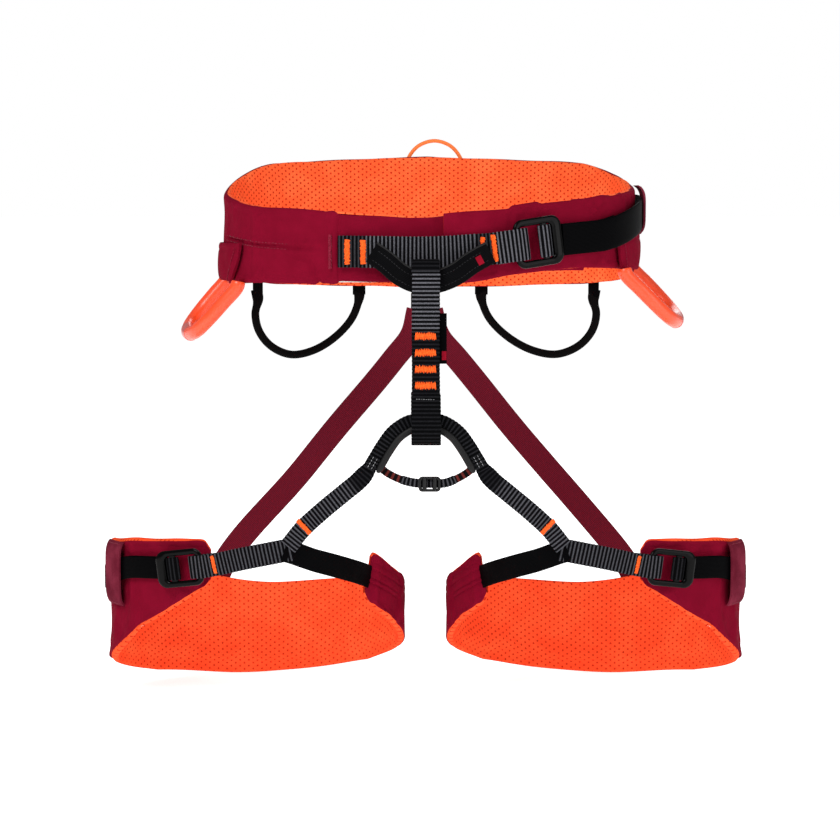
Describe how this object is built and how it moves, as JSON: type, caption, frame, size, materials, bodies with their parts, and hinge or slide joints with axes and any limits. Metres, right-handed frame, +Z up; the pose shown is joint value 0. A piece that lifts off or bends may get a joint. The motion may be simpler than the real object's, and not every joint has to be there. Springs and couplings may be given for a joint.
{
  "type": "tree climbing saddle",
  "caption": "Sit harness with a padded waist belt, a hanging belay loop, adjustable padded leg loops, rear elastic risers and gear loops.",
  "frame": {"origin": "on the ground under the middle of the harness's footprint; the lowest edge of the leg loops is at z = 0", "axes": "+Z up as worn, +X to the right of someone facing the harness, +Y from its front to its back"},
  "size_m": [0.467, 0.2474, 0.4054],
  "materials": {
    "burgundy_cloth": "closely woven burgundy nylon, matt",
    "orange_mesh": "perforated orange spacer mesh, matt",
    "foam": "closed-cell foam, matt",
    "black_webbing": "ribbed black and grey nylon webbing",
    "black_sleeve": "tightly woven black wear sleeve",
    "burgundy_elastic": "woven burgundy elastic",
    "buckle_metal": "black anodised, semi-gloss",
    "orange_plastic": "smooth orange moulding",
    "black_plastic": "black moulding"
  },
  "bodies": {
    "waist_belt": {"waist_shell": "burgundy_cloth", "waist_core_webbing": "black_webbing", "waist_foam": "foam", "waist_liner": "orange_mesh", "waist_front_webbing": "black_webbing", "waist_strap": "black_webbing", "waist_buckle_frame": "buckle_metal", "waist_tail_keeper": "burgundy_cloth", "upper_tie_in_loop": "black_sleeve", "left_gear_sleeve": "burgundy_cloth", "right_gear_sleeve": "burgundy_cloth", "left_rear_gear_tab_outer": "black_webbing", "left_rear_gear_tab_inner": "black_webbing", "right_rear_gear_tab_outer": "black_webbing", "right_rear_gear_tab_inner": "black_webbing", "riser_anchor": "black_webbing"},
    "waist_buckle_slider": {"waist_buckle_bar": "buckle_metal", "waist_strap_fold": "black_webbing"},
    "waist_strap_end": {"waist_strap_tail": "black_webbing"},
    "left_front_gear_hoop": {"left_front_gear_loop": "orange_plastic"},
    "right_front_gear_hoop": {"right_front_gear_loop": "orange_plastic"},
    "left_rear_gear_hoop": {"left_rear_gear_loop": "black_sleeve"},
    "right_rear_gear_hoop": {"right_rear_gear_loop": "black_sleeve"},
    "haul_cord": {"haul_loop": "orange_plastic"},
    "belay_loop": {"belay_loop_webbing": "black_webbing", "belay_loop_sleeve": "black_sleeve", "belay_wear_label": "black_plastic"},
    "leg_bridge": {"bridge_arch_webbing": "black_webbing", "bridge_protector": "black_plastic", "bridge_lower_strap": "burgundy_elastic"},
    "bridge_adjuster": {"bridge_adjuster": "black_plastic"},
    "risers": {"riser_buckle": "black_plastic", "left_riser": "burgundy_elastic", "right_riser": "burgundy_elastic"},
    "left_leg": {"left_leg_shell": "burgundy_cloth", "left_leg_foam": "foam", "left_leg_liner": "orange_mesh", "left_leg_upper_strap": "black_webbing", "left_leg_outer_strap": "black_webbing", "left_leg_inner_strap": "black_webbing", "left_leg_buckle_frame": "buckle_metal", "left_leg_tail_keeper": "burgundy_cloth", "left_leg_riser_tab": "burgundy_elastic"},
    "left_leg_buckle_slider": {"left_leg_buckle_bar": "buckle_metal", "left_leg_strap_fold": "black_webbing"},
    "left_leg_strap_end": {"left_leg_strap_tail": "black_webbing"},
    "right_leg": {"right_leg_shell": "burgundy_cloth", "right_leg_foam": "foam", "right_leg_liner": "orange_mesh", "right_leg_upper_strap": "black_webbing", "right_leg_outer_strap": "black_webbing", "right_leg_inner_strap": "black_webbing", "right_leg_buckle_frame": "buckle_metal", "right_leg_tail_keeper": "burgundy_cloth", "right_leg_riser_tab": "burgundy_elastic"},
    "right_leg_buckle_slider": {"right_leg_buckle_bar": "buckle_metal", "right_leg_strap_fold": "black_webbing"},
    "right_leg_strap_end": {"right_leg_strap_tail": "black_webbing"}
  },
  "joints": [
    {"name": "belay_swing", "type": "hinge", "parent": "waist_belt", "child": "belay_loop", "pos_m": [0, -0.1124, 0.3037], "axis": [1, 0, 0], "range_deg": [-15, 10]},
    {"name": "bridge_turn", "type": "hinge", "parent": "belay_loop", "child": "leg_bridge", "pos_m": [0, -0.1124, 0.205], "axis": [1, 0, 0], "range_deg": [-10.6, 15.9]},
    {"name": "riser_swing", "type": "hinge", "parent": "waist_belt", "child": "risers", "pos_m": [0, 0.12, 0.288], "axis": [1, 0, 0], "range_deg": [-7, 4.7]},
    {"name": "left_leg_twist", "type": "hinge", "parent": "leg_bridge", "child": "left_leg", "pos_m": [-0.041, -0.1124, 0.174], "axis": [-0.4421, 0.8084, -0.3886], "range_deg": [-8, 8]},
    {"name": "right_leg_twist", "type": "hinge", "parent": "leg_bridge", "child": "right_leg", "pos_m": [0.041, -0.1124, 0.174], "axis": [-0.4421, -0.8084, 0.3886], "range_deg": [-8, 8]},
    {"name": "waist_buckle_slide", "type": "slide", "parent": "waist_belt", "child": "waist_buckle_slider", "axis": [0.8975, 0.4185, -0.1392], "range_m": [-0.0035, 0.0006]},
    {"name": "waist_tail_slide", "type": "hinge", "parent": "waist_belt", "child": "waist_strap_end", "pos_m": [0.062, 0.012, 0.35], "axis": [0, 0, 1], "range_deg": [-1, 3]},
    {"name": "left_front_gear_lift", "type": "hinge", "parent": "waist_belt", "child": "left_front_gear_hoop", "pos_m": [-0.139, -0.0385, 0.293], "axis": [-0.1842, 0.9822, 0.0368], "range_deg": [-15, 35]},
    {"name": "right_front_gear_lift", "type": "hinge", "parent": "waist_belt", "child": "right_front_gear_hoop", "pos_m": [0.139, -0.0385, 0.2995], "axis": [-0.1842, -0.9822, -0.0368], "range_deg": [-15, 35]},
    {"name": "left_rear_gear_swing", "type": "hinge", "parent": "waist_belt", "child": "left_rear_gear_hoop", "pos_m": [-0.12295, 0.07295, 0.2847], "axis": [0.8685, 0.4956, 0], "range_deg": [-25, 35]},
    {"name": "right_rear_gear_swing", "type": "hinge", "parent": "waist_belt", "child": "right_rear_gear_hoop", "pos_m": [0.12295, 0.07295, 0.2847], "axis": [0.8685, -0.4956, 0], "range_deg": [-25, 35]},
    {"name": "haul_flop", "type": "hinge", "parent": "waist_belt", "child": "haul_cord", "pos_m": [0.007, 0.1224, 0.366], "axis": [-1, 0, 0], "range_deg": [0, 80]},
    {"name": "bridge_adjuster_slide", "type": "slide", "parent": "leg_bridge", "child": "bridge_adjuster", "axis": [1, 0, 0], "range_m": [-0.003, 0.003]},
    {"name": "left_leg_buckle_slide", "type": "slide", "parent": "left_leg", "child": "left_leg_buckle_slider", "axis": [-0.9276, 0.3468, 0.1392], "range_m": [-0.0035, 0.0006]},
    {"name": "right_leg_buckle_slide", "type": "slide", "parent": "right_leg", "child": "right_leg_buckle_slider", "axis": [0.9276, 0.3468, 0.1392], "range_m": [-0.0035, 0.0006]},
    {"name": "left_leg_tail_slide", "type": "hinge", "parent": "left_leg", "child": "left_leg_strap_end", "pos_m": [-0.163, 0.012, 0.095], "axis": [0, 0, -1], "range_deg": [-1, 4]},
    {"name": "right_leg_tail_slide", "type": "hinge", "parent": "right_leg", "child": "right_leg_strap_end", "pos_m": [0.163, 0.012, 0.095], "axis": [0, 0, 1], "range_deg": [-1, 4]}
  ],
  "couplings": [
    {"joint": "bridge_turn", "follows": "belay_swing", "ratio": -1.055},
    {"joint": "riser_swing", "follows": "belay_swing", "ratio": 0.455}
  ]
}
